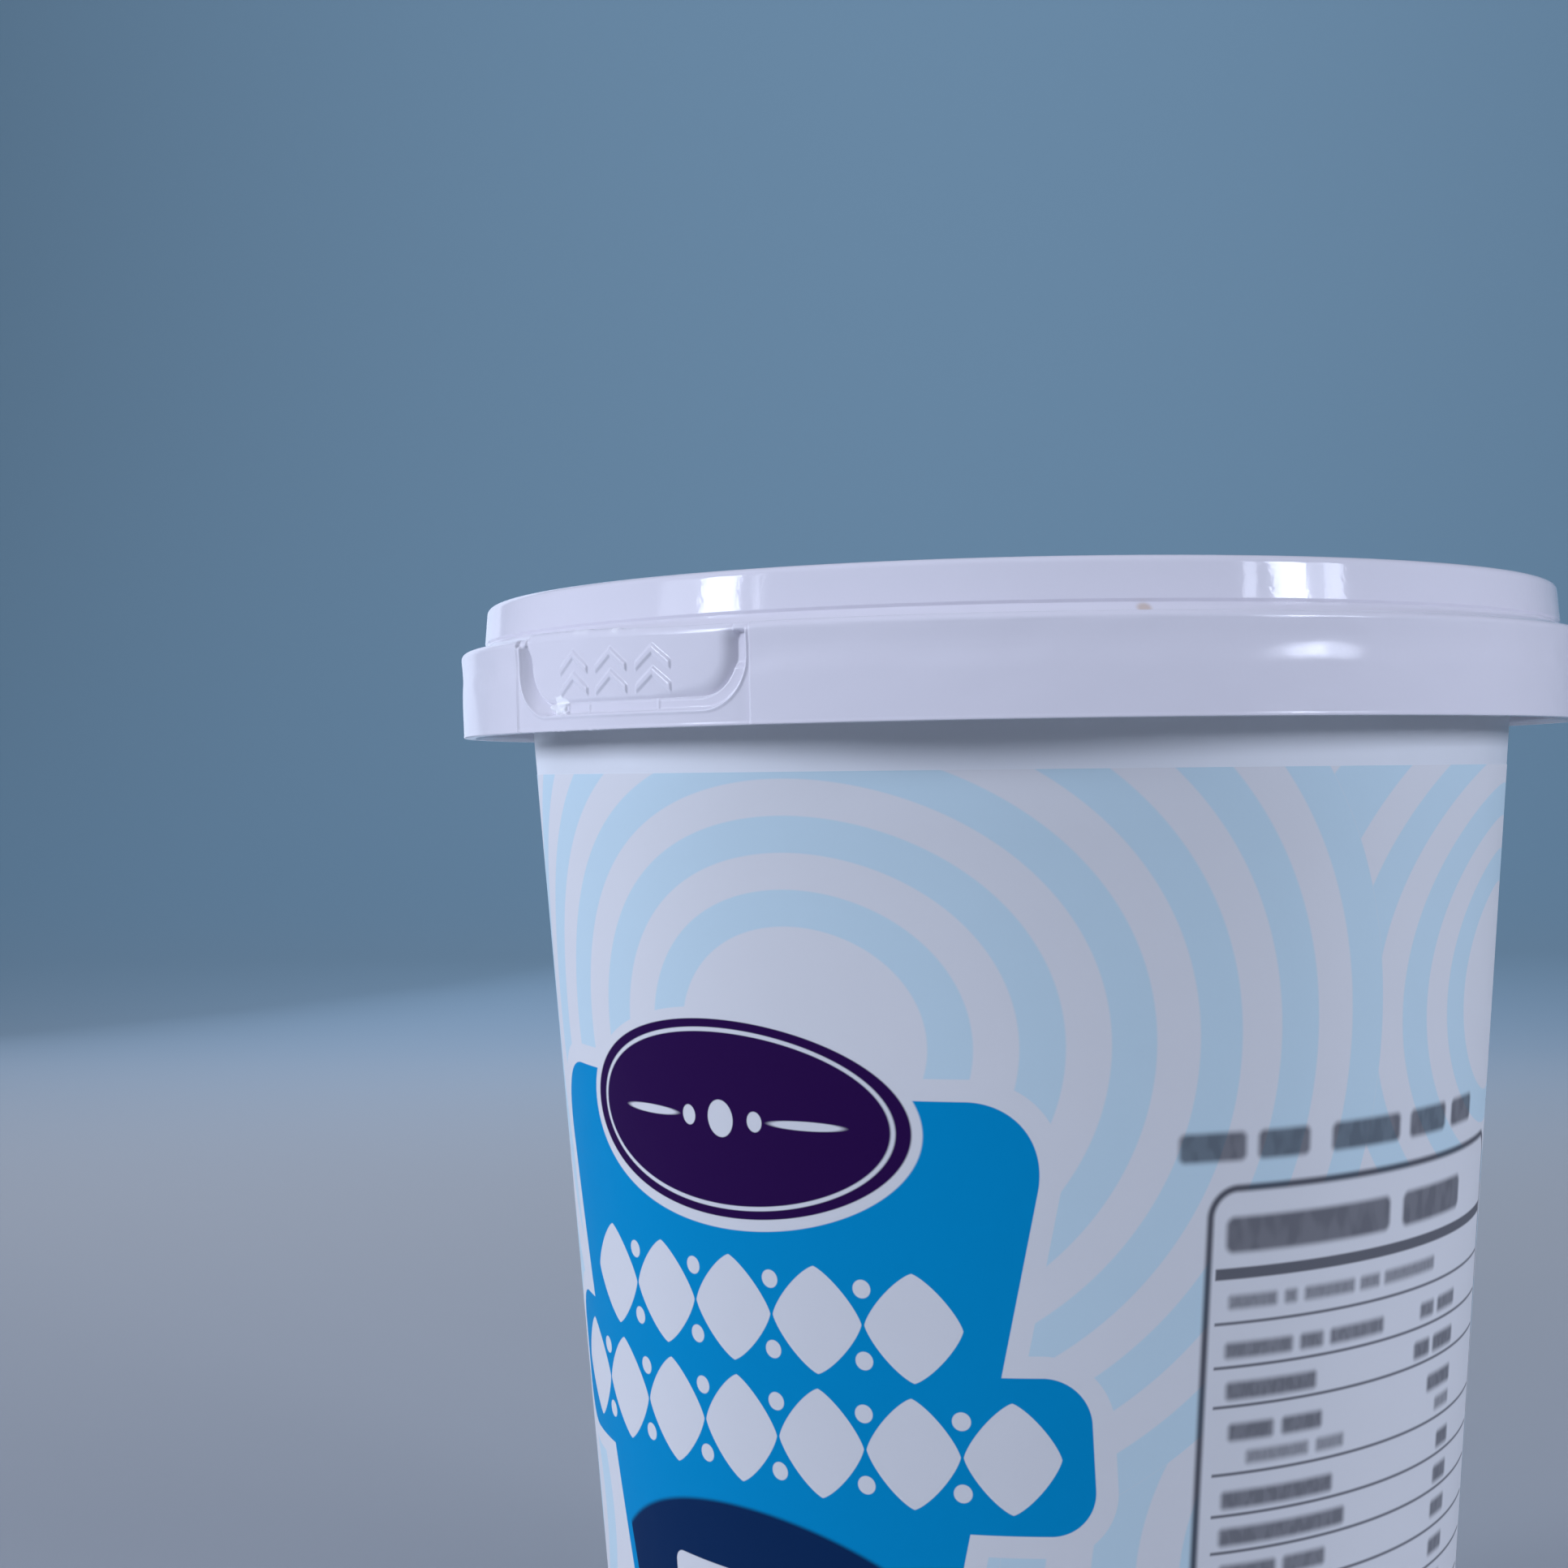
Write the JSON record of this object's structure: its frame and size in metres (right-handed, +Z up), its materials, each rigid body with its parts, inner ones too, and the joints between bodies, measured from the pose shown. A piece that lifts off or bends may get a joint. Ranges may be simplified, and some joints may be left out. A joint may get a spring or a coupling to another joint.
{
  "type": "plastic food cup with lid",
  "caption": "Shut round food tub with tapered wall, printed label field, and a press-fit lid with a hanging band and a tear tab.",
  "frame": {"origin": "middle of the base, on the plane that the foot ring rests on", "axes": "+Z up along the cup's axis, -Y towards the front, where the picture was taken from"},
  "size_m": [0.12, 0.12, 0.142],
  "materials": {
    "cup_plastic": "glossy white moulding with printed fields of light blue, blue, purple and navy",
    "lid_plastic": "glossy cool white moulding"
  },
  "bodies": {
    "root": {"cup": "cup_plastic", "lid": "lid_plastic"}
  },
  "joints": []
}
